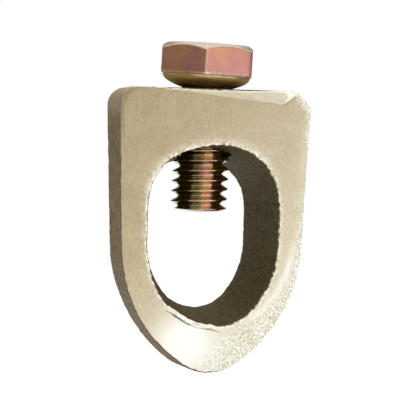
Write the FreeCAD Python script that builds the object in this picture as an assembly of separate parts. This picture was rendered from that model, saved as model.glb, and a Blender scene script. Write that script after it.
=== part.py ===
import FreeCAD, Part

import math

# Earth-rod clamp: a cast brass eye with one hex-head set bolt through its flat top.
# Frame, in millimetres: +X to the right, -Y towards the ground front face, +Z up.
# The origin is the centre of the rod seat, halfway through the casting's depth.

# ---- the casting -------------------------------------------------------------------------
BODY_DEPTH = 15.0          # front face to back face
TOP_HEIGHT = 25.3          # flat top above the rod seat's centre
TOP_HALF_WIDTH = 13.5      # where the sides would meet the top without the corner rounding
SIDE_LEAN_DEG = 2.35       # each side leans in as it goes down
TOP_CORNER_RADIUS = 2.6
SHOULDER_HEIGHT = 3.0      # where each straight side turns into the long side arc
NOSE_RADIUS = 6.4
NOSE_BOTTOM = -14.3
BACK_NOSE_DROP = 0.9       # draft: the nose reaches this much lower at the back face
OUTER_EDGE_ROUND = 0.7     # cast edges around both faces

# ---- the opening, largest at the front face ----------------------------------------------
OPENING_HALF_WIDTH = 9.2
OPENING_TOP = 17.5
OPENING_SHOULDER = 3.9     # where its straight sides turn into the side arcs
SEAT_RADIUS = 7.85         # narrow round end that takes the rod
BACK_INSET = 2.1           # the walls close in by this much at the back face
BACK_DROP = 0.5            # and the whole outline moves down by this much
CUT_OVERRUN = 1.0          # the cutter runs this far past each face

# ---- facet ground along the front top edge -----------------------------------------------
FACET_START_X = -8.5       # the facet has no width here
FACET_FALL_DEG = 7.5       # its lower edge falls to the right
FACET_TILT_DEG = 14.0      # it leans back from the front face
FACET_CUTTER_SIZE = 40.0

# ---- the tapped hole ----------------------------------------------------------------------
HOLE_OFFSET_X = -0.3       # centre of the hole's mouth in the top
BOLT_LEAN_DEG = 2.0        # the hole is drilled this far off square: the bolt's head leans to +X
HOLE_CLEARANCE = 0.05      # plain wall, this far outside the bolt's thread
MOUTH_CHAMFER = 0.5

# ---- the bolt, measured along its own axis from the casting's top ------------------------
THREAD_RADIUS = 3.97       # 5/16 in, 18 threads to the inch
THREAD_PITCH = 25.4 / 18.0
THREAD_DEPTH = 0.92
CREST_WIDTH = 0.18
THREAD_TOP = -1.0          # the thread runs out into the neck here
TIP = -17.5
TIP_CHAMFER = 0.95
NECK_RADIUS = 3.4
HEX_ACROSS_FLATS = 12.7    # 1/2 in
HEX_TURN_DEG = -12.0       # where the turned head's corners point
HEX_BOTTOM = 2.1
HEX_TOP = 6.45
HEAD_TOP_RADIUS = 5.8
HEAD_CHAMFER_DEG = 32.0
COLLAR_DEPTH = 1.65        # rounded underside of the forged head
COLLAR_RIM = 0.2           # the collar's rim stands this far inside the hex's flats

HALF_DEPTH = BODY_DEPTH / 2.0


def rad(degrees):
    return math.radians(degrees)


def point(x, z, y):
    return FreeCAD.Vector(x, y, z)


def arc_between(centre, radius, start_angle, end_angle, y):
    """An arc in the plane at y, around centre (x, z), between two angles in radians."""
    ends = []
    for angle in (start_angle, (start_angle + end_angle) / 2.0, end_angle):
        x = centre[0] + radius * math.cos(angle)
        z = centre[1] + radius * math.sin(angle)
        ends.append(point(x, z, y))
    return Part.Arc(ends[0], ends[1], ends[2]).toShape()


def mirrored(edges):
    """The same edges on the other side of the YZ plane."""
    plane_point = FreeCAD.Vector(0, 0, 0)
    plane_normal = FreeCAD.Vector(1, 0, 0)
    return [edge.mirror(plane_point, plane_normal) for edge in edges]


def closed_wire(right_half):
    """Join the right half of an outline to its mirror image."""
    edges = Part.sortEdges(right_half + mirrored(right_half))[0]
    return Part.Wire(edges)


def side_and_nose(start, lean, nose_centre_z, nose_radius, y):
    """The long arc that leaves a side at start, and the nose arc that it runs into."""
    normal = (math.cos(lean), -math.sin(lean))
    to_start = (start[0], start[1] - nose_centre_z)
    along_normal = to_start[0] * normal[0] + to_start[1] * normal[1]
    length_squared = to_start[0] ** 2 + to_start[1] ** 2
    radius = (length_squared - nose_radius ** 2) / (2.0 * (along_normal - nose_radius))
    centre = (start[0] - radius * normal[0], start[1] - radius * normal[1])
    meeting_angle = math.atan2(nose_centre_z - centre[1], -centre[0])
    side = arc_between(centre, radius, -lean, meeting_angle, y)
    nose = arc_between((0.0, nose_centre_z), nose_radius, meeting_angle, -math.pi / 2.0, y)
    return [side, nose]


def body_outline(nose_bottom, y):
    """Flat top, rounded corners, leaning sides, long side arcs and a round nose."""
    lean = rad(SIDE_LEAN_DEG)
    corner_z = TOP_HEIGHT - TOP_CORNER_RADIUS
    corner_x = TOP_HALF_WIDTH - TOP_CORNER_RADIUS * (1.0 + math.sin(lean)) / math.cos(lean)
    corner = arc_between((corner_x, corner_z), TOP_CORNER_RADIUS, math.pi / 2.0, -lean, y)
    side_top_x = corner_x + TOP_CORNER_RADIUS * math.cos(lean)
    side_top_z = corner_z - TOP_CORNER_RADIUS * math.sin(lean)
    shoulder_x = TOP_HALF_WIDTH - (TOP_HEIGHT - SHOULDER_HEIGHT) * math.tan(lean)
    top = Part.makeLine(point(0, TOP_HEIGHT, y), point(corner_x, TOP_HEIGHT, y))
    side = Part.makeLine(point(side_top_x, side_top_z, y), point(shoulder_x, SHOULDER_HEIGHT, y))
    start = (shoulder_x, SHOULDER_HEIGHT)
    lower = side_and_nose(start, lean, nose_bottom + NOSE_RADIUS, NOSE_RADIUS, y)
    return closed_wire([top, corner, side] + lower)


def opening_outline(inset, drop, y):
    """Round dome, straight sides, side arcs and the rod seat, drawn in by inset."""
    width = OPENING_HALF_WIDTH - inset
    dome_z = OPENING_TOP - OPENING_HALF_WIDTH - drop
    shoulder_z = OPENING_SHOULDER - drop
    dome = arc_between((0.0, dome_z), width, math.pi / 2.0, 0.0, y)
    side = Part.makeLine(point(width, dome_z, y), point(width, shoulder_z, y))
    lower = side_and_nose((width, shoulder_z), 0.0, -drop, SEAT_RADIUS - inset, y)
    return closed_wire([dome, side] + lower)


def opening_cutter():
    """The tapered opening, run past both faces."""
    past = CUT_OVERRUN / BODY_DEPTH
    front = opening_outline(-BACK_INSET * past, -BACK_DROP * past, -HALF_DEPTH - CUT_OVERRUN)
    back_share = 1.0 + past
    back = opening_outline(BACK_INSET * back_share, BACK_DROP * back_share,
                           HALF_DEPTH + CUT_OVERRUN)
    return Part.makeLoft([front, back], True, True)


def facet_cutter():
    """A block whose back face is the facet ground along the front top edge."""
    size = FACET_CUTTER_SIZE
    block = Part.makeBox(size, size, size, FreeCAD.Vector(0, -size, 0))
    origin = FreeCAD.Vector(0, 0, 0)
    block.rotate(origin, FreeCAD.Vector(1, 0, 0), -FACET_TILT_DEG)
    block.rotate(origin, FreeCAD.Vector(0, 1, 0), FACET_FALL_DEG)
    block.translate(FreeCAD.Vector(FACET_START_X, -HALF_DEPTH, TOP_HEIGHT))
    return block


def on_bolt_axis(shape):
    """Move a shape built on the Z axis from z = 0 onto the bolt's leaning axis."""
    shape.rotate(FreeCAD.Vector(0, 0, 0), FreeCAD.Vector(0, 1, 0), BOLT_LEAN_DEG)
    shape.translate(FreeCAD.Vector(HOLE_OFFSET_X, 0, TOP_HEIGHT))
    return shape


def revolved(profile):
    """A solid of revolution from (radius, height) points, closed along the Z axis."""
    corners = [FreeCAD.Vector(radius, 0, height) for radius, height in profile]
    corners.append(corners[0])
    face = Part.Face(Part.makePolygon(corners))
    return face.revolve(FreeCAD.Vector(0, 0, 0), FreeCAD.Vector(0, 0, 1), 360)


def hole_cutter():
    """Bolt hole with a chamfered mouth, down into the opening and no further."""
    radius = THREAD_RADIUS + HOLE_CLEARANCE
    above = 3.0
    below = OPENING_TOP - TOP_HEIGHT - 4.0
    profile = [
        (0.0, above),
        (radius + MOUTH_CHAMFER + above, above),
        (radius, -MOUTH_CHAMFER),
        (radius, below),
        (0.0, below),
    ]
    return on_bolt_axis(revolved(profile))


def make_body():
    front = body_outline(NOSE_BOTTOM, -HALF_DEPTH)
    back = body_outline(NOSE_BOTTOM - BACK_NOSE_DROP, HALF_DEPTH)
    block = Part.makeLoft([front, back], True, True)
    rims = []
    for edge in block.Edges:
        if edge.BoundBox.YLength < BODY_DEPTH / 2.0:
            rims.append(edge)
    block = block.makeFillet(OUTER_EDGE_ROUND, rims)
    block = block.cut(facet_cutter())
    block = block.cut(opening_cutter())
    return block.cut(hole_cutter())


def make_thread():
    """A 60 degree thread on its core, with a chamfered tip and a run-out into the neck."""
    root = THREAD_RADIUS - THREAD_DEPTH
    sunk = 0.05
    half_crest = CREST_WIDTH / 2.0
    half_base = half_crest + (THREAD_DEPTH + sunk) * math.tan(rad(30.0))
    start = TIP - THREAD_PITCH
    height = THREAD_TOP - start + THREAD_PITCH
    helix = Part.makeLongHelix(THREAD_PITCH, height, root)
    profile = Part.makePolygon([
        FreeCAD.Vector(root - sunk, 0, -half_base),
        FreeCAD.Vector(THREAD_RADIUS, 0, -half_crest),
        FreeCAD.Vector(THREAD_RADIUS, 0, half_crest),
        FreeCAD.Vector(root - sunk, 0, half_base),
        FreeCAD.Vector(root - sunk, 0, -half_base),
    ])
    ridge = Part.Wire(helix.Edges).makePipeShell([profile], True, True)
    ridge.translate(FreeCAD.Vector(0, 0, start))
    core = Part.makeCylinder(root, height, FreeCAD.Vector(0, 0, start))
    threaded = core.fuse(ridge)
    outside = THREAD_RADIUS + 0.3
    tip_radius = THREAD_RADIUS - TIP_CHAMFER
    rise = outside - NECK_RADIUS
    envelope = revolved([
        (0.0, TIP),
        (tip_radius, TIP),
        (outside, TIP + (outside - tip_radius) * 0.75),
        (outside, THREAD_TOP - rise),
        (NECK_RADIUS, THREAD_TOP),
        (0.0, THREAD_TOP),
    ])
    return threaded.common(envelope)


def make_head():
    """Hexagon, chamfered on top, over the rounded collar and the neck."""
    corner_radius = HEX_ACROSS_FLATS / math.sqrt(3.0)
    corners = []
    for index in range(7):
        angle = rad(HEX_TURN_DEG - 90.0 + 60.0 * index)
        x = corner_radius * math.cos(angle)
        y = corner_radius * math.sin(angle)
        corners.append(FreeCAD.Vector(x, y, HEX_BOTTOM))
    prism = Part.Face(Part.makePolygon(corners)).extrude(FreeCAD.Vector(0, 0, HEX_TOP - HEX_BOTTOM))
    wide = corner_radius + 1.0
    chamfer_drop = (wide - HEAD_TOP_RADIUS) * math.tan(rad(HEAD_CHAMFER_DEG))
    cap = revolved([
        (0.0, HEX_TOP),
        (HEAD_TOP_RADIUS, HEX_TOP),
        (wide, HEX_TOP - chamfer_drop),
        (wide, HEX_BOTTOM),
        (0.0, HEX_BOTTOM),
    ])
    return prism.common(cap)


def make_collar_and_neck():
    """A quarter ellipse turned round the axis, then the neck down to the thread."""
    rim = HEX_ACROSS_FLATS / 2.0 - COLLAR_RIM
    steps = 8
    profile = [(0.0, HEX_BOTTOM)]
    for index in range(steps + 1):
        angle = math.pi / 2.0 * index / steps
        radius = NECK_RADIUS + (rim - NECK_RADIUS) * math.cos(angle)
        profile.append((radius, HEX_BOTTOM - COLLAR_DEPTH * math.sin(angle)))
    profile.append((NECK_RADIUS, THREAD_TOP))
    profile.append((0.0, THREAD_TOP))
    return revolved(profile)


def make_bolt():
    upper = make_head().fuse(make_collar_and_neck())
    bolt = upper.fuse(make_thread()).removeSplitter()
    return on_bolt_axis(bolt)


def save(name, shape):
    solids = shape.Solids
    print(name, "solids", len(solids), "valid", shape.isValid(), "volume", round(shape.Volume, 1))
    shape.exportStep("parts/" + name + ".step")


save("clamp_body", make_body())
save("hex_bolt", make_bolt())
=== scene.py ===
import math

import bpy
import numpy as np
from mathutils import Matrix, Vector, noise


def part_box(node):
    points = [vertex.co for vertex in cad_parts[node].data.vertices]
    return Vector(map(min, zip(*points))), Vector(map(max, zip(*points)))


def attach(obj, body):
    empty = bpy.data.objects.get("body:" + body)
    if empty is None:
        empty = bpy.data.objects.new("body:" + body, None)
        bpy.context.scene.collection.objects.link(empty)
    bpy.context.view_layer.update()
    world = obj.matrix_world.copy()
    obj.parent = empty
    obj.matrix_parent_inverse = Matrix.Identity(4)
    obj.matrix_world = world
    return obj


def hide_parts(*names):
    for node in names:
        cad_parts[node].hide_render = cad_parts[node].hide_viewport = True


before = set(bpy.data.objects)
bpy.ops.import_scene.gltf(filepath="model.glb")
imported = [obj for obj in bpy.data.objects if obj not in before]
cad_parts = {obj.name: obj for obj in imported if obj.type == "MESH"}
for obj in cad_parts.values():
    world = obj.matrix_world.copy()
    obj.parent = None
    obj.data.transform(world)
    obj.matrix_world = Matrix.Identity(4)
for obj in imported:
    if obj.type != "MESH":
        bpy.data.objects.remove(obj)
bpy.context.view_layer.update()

# Earth-rod clamp: a sand-cast brass eye and its yellow-passivated set bolt.
# Shapes are worked out in millimetres in the CAD frame and scaled to metres when a mesh is made.
MM = 0.001

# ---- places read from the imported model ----
body_low, body_high = (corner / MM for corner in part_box("clamp_body"))
FRONT_Y = body_low.y
BACK_Y = body_high.y
TOP_Z = body_high.z
DEPTH = BACK_Y - FRONT_Y

# ---- the casting's outlines ----
TOP_HALF_WIDTH = 13.5
SIDE_LEAN = math.radians(2.35)
TOP_CORNER_RADIUS = 2.6
SHOULDER_HEIGHT = 3.0
NOSE_RADIUS = 6.4
FRONT_NOSE_Z = -14.3
BACK_NOSE_Z = body_low.z
OPENING_HALF_WIDTH = 9.2
OPENING_TOP = 17.6
OPENING_SHOULDER = 3.9
SEAT_RADIUS = 7.85
DOME_SQUARENESS = 2.25  # 2 would be a round dome
BACK_INSET = 2.1
BACK_DROP = 0.5
RING_CENTRE_Z = 6.0  # the mesh's rows run outwards from here
OUTLINE_STEP = 0.05

# ---- how finely the casting is meshed ----
AROUND = 500
FRONT_STEPS = 54
WALL_STEPS = 46
BACK_STEPS = 24
ROUND_STEPS = 4

# ---- the bolt, along its own axis from the casting's top ----
HOLE_X = -0.3
LEAN = math.radians(2.0)
THREAD_RADIUS = 3.97
PITCH = 25.4 / 18.0
THREAD_DEPTH = 0.92
CREST_WIDTH = 0.16
THREAD_SHIFT = 0.52  # how far down the thread sits, which is how far it was turned
THREAD_TOP = -1.0
TIP_Z = -17.5
TIP_CHAMFER = 0.55
TIP_STEEPNESS = 0.75  # height of the tip's chamfer for each mm of its width
TIP_DOME = 0.40  # how far the rounded end stands below its own rim
NECK_RADIUS = 3.4
ACROSS_FLATS = 12.7
HEX_TURN = math.radians(-12.0)
HEX_BOTTOM = 1.92
HEX_TOP = 6.32
HEAD_TOP_RADIUS = 5.8
CHAMFER_SLOPE = math.tan(math.radians(32.0))
COLLAR_DEPTH = 1.82
COLLAR_RADIUS = 6.34
COLLAR_POWER = 2.3  # the collar falls steeply at its rim, then tapers in to the neck


# ---- outlines ----
def arc(centre, radius, start, end, steps=48):
    """Points on an arc in the XZ plane, between two angles in radians."""
    angles = np.linspace(start, end, steps)
    return np.stack([centre[0] + radius * np.cos(angles), centre[1] + radius * np.sin(angles)], 1)


def side_and_nose(start, lean, nose_z, nose_radius):
    """The long arc leaving a side at start, tangent to it, and the nose arc that it runs into."""
    normal = (math.cos(lean), -math.sin(lean))
    offset = (start[0], start[1] - nose_z)
    along = offset[0] * normal[0] + offset[1] * normal[1]
    radius = (offset[0] ** 2 + offset[1] ** 2 - nose_radius ** 2) / (2.0 * (along - nose_radius))
    centre = (start[0] - radius * normal[0], start[1] - radius * normal[1])
    meeting = math.atan2(nose_z - centre[1], -centre[0])
    side = arc(centre, radius, -lean, meeting)
    nose = arc((0.0, nose_z), nose_radius, meeting, -math.pi / 2.0)
    return np.concatenate([side, nose])


def body_half(nose_bottom):
    """Right half of the casting's outline, from the middle of the top to the nose."""
    corner_z = TOP_Z - TOP_CORNER_RADIUS
    reach = TOP_CORNER_RADIUS * (1.0 + math.sin(SIDE_LEAN)) / math.cos(SIDE_LEAN)
    corner_x = TOP_HALF_WIDTH - reach
    corner = arc((corner_x, corner_z), TOP_CORNER_RADIUS, math.pi / 2.0, -SIDE_LEAN)
    shoulder_x = TOP_HALF_WIDTH - (TOP_Z - SHOULDER_HEIGHT) * math.tan(SIDE_LEAN)
    start = (shoulder_x, SHOULDER_HEIGHT)
    lower = side_and_nose(start, SIDE_LEAN, nose_bottom + NOSE_RADIUS, NOSE_RADIUS)
    return np.concatenate([[(0.0, TOP_Z)], corner, lower])


def opening_half(inset, drop):
    """Right half of the opening's outline, drawn in by inset and lowered by drop."""
    width = OPENING_HALF_WIDTH - inset
    dome_z = OPENING_TOP - OPENING_HALF_WIDTH - drop
    angles = np.linspace(math.pi / 2.0, 0.0, 64)
    power = 2.0 / DOME_SQUARENESS
    dome_x = width * np.abs(np.cos(angles)) ** power
    dome_up = width * np.abs(np.sin(angles)) ** power
    dome = np.stack([dome_x, dome_z + dome_up], 1)
    start = (width, OPENING_SHOULDER - drop)
    lower = side_and_nose(start, 0.0, -drop, SEAT_RADIUS - inset)
    return np.concatenate([dome, lower])


def whole(half):
    """Both halves as one closed run of closely spaced points, clockwise from the top."""
    left = half[::-1] * np.array([-1.0, 1.0])
    closed = np.concatenate([half, left])
    run = run_along(closed)
    places = np.arange(0.0, run[-1], OUTLINE_STEP)
    return np.stack([np.interp(places, run, closed[:, 0]), np.interp(places, run, closed[:, 1])], 1)


def run_along(points):
    """Distance along a run of points, from its first point to each."""
    steps = np.hypot(*np.diff(points, axis=0).T)
    return np.concatenate([[0.0], np.cumsum(steps)])


def even_angles(points, count):
    """Directions from the ring's centre, evenly spaced along an outline."""
    closed = np.concatenate([points, points[:1]])
    run = run_along(closed)
    places = np.arange(count) / count * run[-1]
    x = np.interp(places, run, closed[:, 0])
    z = np.interp(places, run, closed[:, 1])
    return np.arctan2(z - RING_CENTRE_Z, x)


def radius_at(points, angles):
    """Distance of an outline from the ring's centre in each direction."""
    around = np.arctan2(points[:, 1] - RING_CENTRE_Z, points[:, 0])
    radii = np.hypot(points[:, 1] - RING_CENTRE_Z, points[:, 0])
    return np.interp(angles, around, radii, period=2.0 * math.pi)


# ---- small helpers for surfaces ----
def smooth(low, high, value):
    """0 below low, 1 above high, and a soft step between."""
    share = np.clip((value - low) / (high - low), 0.0, 1.0)
    return share * share * (3.0 - 2.0 * share)


def between(value, start, end):
    """1 between two soft steps, the first up over start and the second down over end."""
    return smooth(*start, value) * (1.0 - smooth(*end, value))


def bell(value, centre, half_width):
    """1 at the centre, about a third at its half width, and 0 far from it."""
    return np.exp(-((value - centre) / half_width) ** 2)


def bumps(points, size, octaves=1, shift=0.0):
    """Smooth noise of about -1 to 1 at each point, with features of the given size in mm."""
    values = np.empty(len(points))
    offset = Vector((shift, shift * 0.7, -shift))
    for index, (x, y, z) in enumerate(points / size):
        place = Vector((x, y, z)) + offset
        if octaves == 1:
            values[index] = noise.noise(place)
        else:
            values[index] = noise.fractal(place, 1.0, 2.0, octaves)
    return values


def pits(points, size, shift=0.0):
    """1 in the middle of scattered round pits of about the given size in mm, 0 between them."""
    values = np.empty(len(points))
    offset = Vector((shift, -shift, shift * 0.5))
    for index, (x, y, z) in enumerate(points / size):
        distances, _ = noise.voronoi(Vector((x, y, z)) + offset)
        values[index] = distances[0]
    return 1.0 - smooth(0.1, 0.55, values)


def grid_normals(grid):
    """Unit normals of a grid that closes on itself both ways."""
    along = np.roll(grid, -1, 0) - np.roll(grid, 1, 0)
    across = np.roll(grid, -1, 1) - np.roll(grid, 1, 1)
    normals = np.cross(along, across)
    return normals / np.maximum(np.linalg.norm(normals, axis=2, keepdims=True), 1e-12)


def make_object(name, points, faces, attributes=None):
    """A smooth-shaded mesh object from points in millimetres."""
    mesh = bpy.data.meshes.new(name)
    mesh.from_pydata((points * MM).tolist(), [], faces)
    for title, values in (attributes or {}).items():
        layer = mesh.attributes.new(title, "FLOAT", "POINT")
        layer.data.foreach_set("value", np.asarray(values, dtype=np.float32))
    mesh.shade_smooth()
    mesh.update()
    made = bpy.data.objects.new(name, mesh)
    bpy.context.scene.collection.objects.link(made)
    return made


def ring_faces(rows, columns):
    """Quads of a grid that closes on itself both ways."""
    faces = []
    for row in range(rows):
        next_row = (row + 1) % rows
        for column in range(columns):
            next_column = (column + 1) % columns
            faces.append((row * columns + column, row * columns + next_column,
                          next_row * columns + next_column, next_row * columns + column))
    return faces


# ---- the casting ----
INNER_FRONT_ROUND = 0.16
OUTER_FRONT_ROUND = 0.20
OUTER_BACK_ROUND = 0.70
INNER_BACK_ROUND = 0.25
CORNER_CUT_REACH = 25.45  # the worn top right corner ends at a line this far out
CORNER_CUT_TILT = math.radians(42.5)
CORNER_CUT_COSINE = 0.7  # the line counts only this near to its own direction

# The front is ground to a facet along its top edge and to a second one at the bottom.
FACET_START = (-9.2, TOP_Z - 0.05)  # the top facet has no width here
FACET_FALL = math.radians(6.3)
FACET_SLOPE = math.tan(math.radians(13.0))
CREASE = (8.9, 22.9)  # the top facet ends at a crease that climbs from here
CREASE_ANGLE = math.radians(37.0)
CREASE_SLOPE = math.tan(math.radians(35.0))
LOWER_START = (-11.1, -3.2)  # the second ground facet lies below a line from here
LOWER_FALL = math.radians(25.5)
LOWER_SLOPE = math.tan(math.radians(1.6))
LOWER_CURVE = 0.0115  # and it bends back further below the line
LOWER_LINE_WANDER = 0.12
CAST_SLOPE = math.tan(math.radians(9.0))
CAST_BEND = 0.6  # how softly the ground face turns in to the cast slope
CAST_FLATTENING = 0.3  # the lower facet is this much flatter under cast skin
CAST_FLATTENING_WIDTH = 4.0

# How far across the ring the ground face reaches, by direction in degrees from the right.
FULLY_GROUND = 1.6
GROUND_REACH = (
    (-112.0, FULLY_GROUND), (-100.0, 1.05), (-91.0, 0.62), (-84.0, 0.20), (-73.0, 0.14),
    (-46.0, 0.46), (-32.0, 0.58), (-5.0, 0.76), (12.0, 0.92), (30.0, 0.93), (50.0, 0.90),
    (62.0, 0.95), (75.0, FULLY_GROUND),
)
# Half the width over which ground face gives way to cast skin, by direction.
GROUND_BLUR = ((-115.0, 2.6), (-60.0, 1.3), (-30.0, 0.45))
GROUND_WANDER = 0.35

# Stretches of the ring, by direction, each with a soft start and a soft end.
RIGHT_RIM = ((-75.0, -55.0), (60.0, 80.0))
RIGHT_SIDE = ((-92.0, -80.0), (64.0, 74.0))
UPPER_RIM = ((35.0, 60.0), (150.0, 175.0))
BURR_RIM = ((-122.0, -113.0), (-92.0, -82.0))
SEAM_RIM = ((-75.0, -60.0), (-30.0, -5.0))
LEFT_START = (100.0, 125.0)
LEFT_END = (-125.0, -95.0)

# What strays from the outlines near the front. Each place is a direction and a half width.
RAGGED = 0.06
RAGGED_MORE_ON_RIGHT = 0.11
RIM_WAVE = 0.10
BURR_REACH = 0.60  # how far the burr stands in to the opening
DOME_SAG = 0.42  # how much lower the dome's front edge is at upper left
DOME_SAG_PLACE = (108.0, 20.0)
BACK_RISE = 0.60  # how much higher its back edge is there
BACK_RISE_PLACE = (122.0, 15.0)
RIM_FADE = 0.8
SIDE_SWELL = 0.34
SIDE_SHRINK = 0.03
SIDE_RAGGED = 0.09
SIDE_FADE = 1.2
WORN_CORNER = 0.12  # how far the top left corner is rubbed back
WORN_CORNER_PLACE = (127.0, 9.0)
WORN_CORNER_WIDTH = 1.6
CARVING_DEPTH = 3.0  # the front's facets and grooves fade out this far behind it
CRACK = (0.82, 0.12)  # place behind the burr's edge, and half width
FINE_CRACK = (0.38, 0.10)
CRACK_DEPTH = 0.30
LIP = (0.55, 0.80)  # the burr's shiny lip ends between these
NICKS_X = (-8.9, -6.5, 4.6)
NICK_SIZE = (0.30, 0.5, 0.16)
NICK_DEPTH = 0.20
# Partly real polish, partly painted highlight: a pale spot on the lower facet that stands in for its
# reflection of the bright floor.
BRIGHT_SPOT_X = -3.5
BRIGHT_SPOT_Z = -10.2
BRIGHT_SPOT_SIZE = 3.1
TOP_GROUND = 0.75  # how far the top and the upper left side are rubbed smooth
UPPER_SIDE_GROUND = 0.7
UPPER_SIDE_Z = (20.0, 24.5)
# Painted shadow: a dark line on the left side, just behind the front.
EDGE_SHADOW_PLACE = (0.25, 0.22)  # a dark line on the left side, just behind the front
# Painted highlight: a pale streak along the crease beside the cast slope.
SEAM_PLACE = (-0.2, 0.55)  # beside the cast slope, on its ground side
SEAM_SHINE = 0.55
# Painted highlight along the opening's front edge, reaching further above.
RIM_SHINE_REACH = 0.26
RIM_SHINE_MORE_ABOVE = 0.30
RIM_SHINE_DEPTH = 0.12
SAND_HEIGHT = 0.040
GRAIN_HEIGHT = 0.045
PIT_DEPTH = 0.06
SKIN_SHRINK = 0.03  # cast skin lies this far inside the outline, on average
GROUND_WAVE = 0.008
RUBBED_LIFT = 0.01
RUBBED_PITS = 0.03
RUBBED_GRAIN = 0.05
RIM_BEAD = 0.04
RIM_GRAIN = 0.22
SLACK = 0.01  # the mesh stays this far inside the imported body

# Sine and cosine at steps along a rounded edge's quarter turn.
QUARTER = [(math.sin(math.pi / 2.0 * step / ROUND_STEPS), math.cos(math.pi / 2.0 * step / ROUND_STEPS))
           for step in range(1, ROUND_STEPS + 1)]

# The parts of its surface that the casting's cross-section passes over.
FRONT = 0
OUTSIDE = 1
BACK = 2
OPENING = 3


def across_ring(shares, inner_round, outer_round, depth, part):
    """Section rows over the front or back, drawn in at both ends for its rounded edges."""
    rows = []
    for share in shares:
        rows.append((share, inner_round * (1.0 - share) - outer_round * share, depth, part))
    return rows


def through_ring(share, start, end, part):
    """Section rows straight along the outside or the opening, between two depths."""
    wall = np.linspace(start, end, WALL_STEPS + 1)
    return [(share, 0.0, depth, part) for depth in wall[1:]]


def section():
    """The casting's cross-section, as share across the ring, shift in mm, depth and part."""
    rows = across_ring(np.linspace(0.0, 1.0, FRONT_STEPS + 1),
                       INNER_FRONT_ROUND, OUTER_FRONT_ROUND, FRONT_Y, FRONT)
    for sine, cosine in QUARTER:
        shift = OUTER_FRONT_ROUND * (sine - 1.0)
        rows.append((1.0, shift, FRONT_Y + OUTER_FRONT_ROUND * (1.0 - cosine), OUTSIDE))
    rows += through_ring(1.0, FRONT_Y + OUTER_FRONT_ROUND, BACK_Y - OUTER_BACK_ROUND, OUTSIDE)
    for sine, cosine in QUARTER:
        shift = OUTER_BACK_ROUND * (cosine - 1.0)
        rows.append((1.0, shift, BACK_Y - OUTER_BACK_ROUND * (1.0 - sine), OUTSIDE))
    rows += across_ring(np.linspace(1.0, 0.0, BACK_STEPS + 1)[1:],
                        INNER_BACK_ROUND, OUTER_BACK_ROUND, BACK_Y, BACK)
    for sine, cosine in QUARTER:
        shift = INNER_BACK_ROUND * (1.0 - sine)
        rows.append((0.0, shift, BACK_Y - INNER_BACK_ROUND * (1.0 - cosine), OPENING))
    rows += through_ring(0.0, BACK_Y - INNER_BACK_ROUND, FRONT_Y + INNER_FRONT_ROUND, OPENING)
    for sine, cosine in QUARTER[:-1]:
        shift = INNER_FRONT_ROUND * (1.0 - cosine)
        rows.append((0.0, shift, FRONT_Y + INNER_FRONT_ROUND * (1.0 - sine), OPENING))
    return np.array(rows)


def cut_corner(radii, angles):
    """Trim the outline where it passes the straight line of the worn top right corner."""
    across = np.cos(angles - CORNER_CUT_TILT)
    limit = CORNER_CUT_REACH - RING_CENTRE_Z * math.sin(CORNER_CUT_TILT)
    limit = limit / np.maximum(across, 1e-3)
    return np.where(across > CORNER_CUT_COSINE, np.minimum(radii, limit), radii)


def top_facet_depth(x, z):
    """How far the facet ground along the top edge lies behind the front face."""
    above = (x - FACET_START[0]) * math.sin(FACET_FALL) + (z - FACET_START[1]) * math.cos(FACET_FALL)
    left = -(x - CREASE[0]) * math.sin(CREASE_ANGLE) + (z - CREASE[1]) * math.cos(CREASE_ANGLE)
    return np.minimum(np.maximum(above, 0.0) * FACET_SLOPE, np.maximum(left, 0.0) * CREASE_SLOPE)


def below_lower_line(x, z):
    """Distance below the line where the second ground facet starts."""
    return -((x - LOWER_START[0]) * math.sin(LOWER_FALL) + (z - LOWER_START[1]) * math.cos(LOWER_FALL))


def by_direction(table, degrees):
    """Read a short table of directions and values, and go straight between its rows."""
    directions, values = zip(*table)
    return np.interp(degrees, directions, values)


def column(values):
    """One value for each direction, ready to be spread over the section's rows."""
    return values[:, None]


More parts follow.
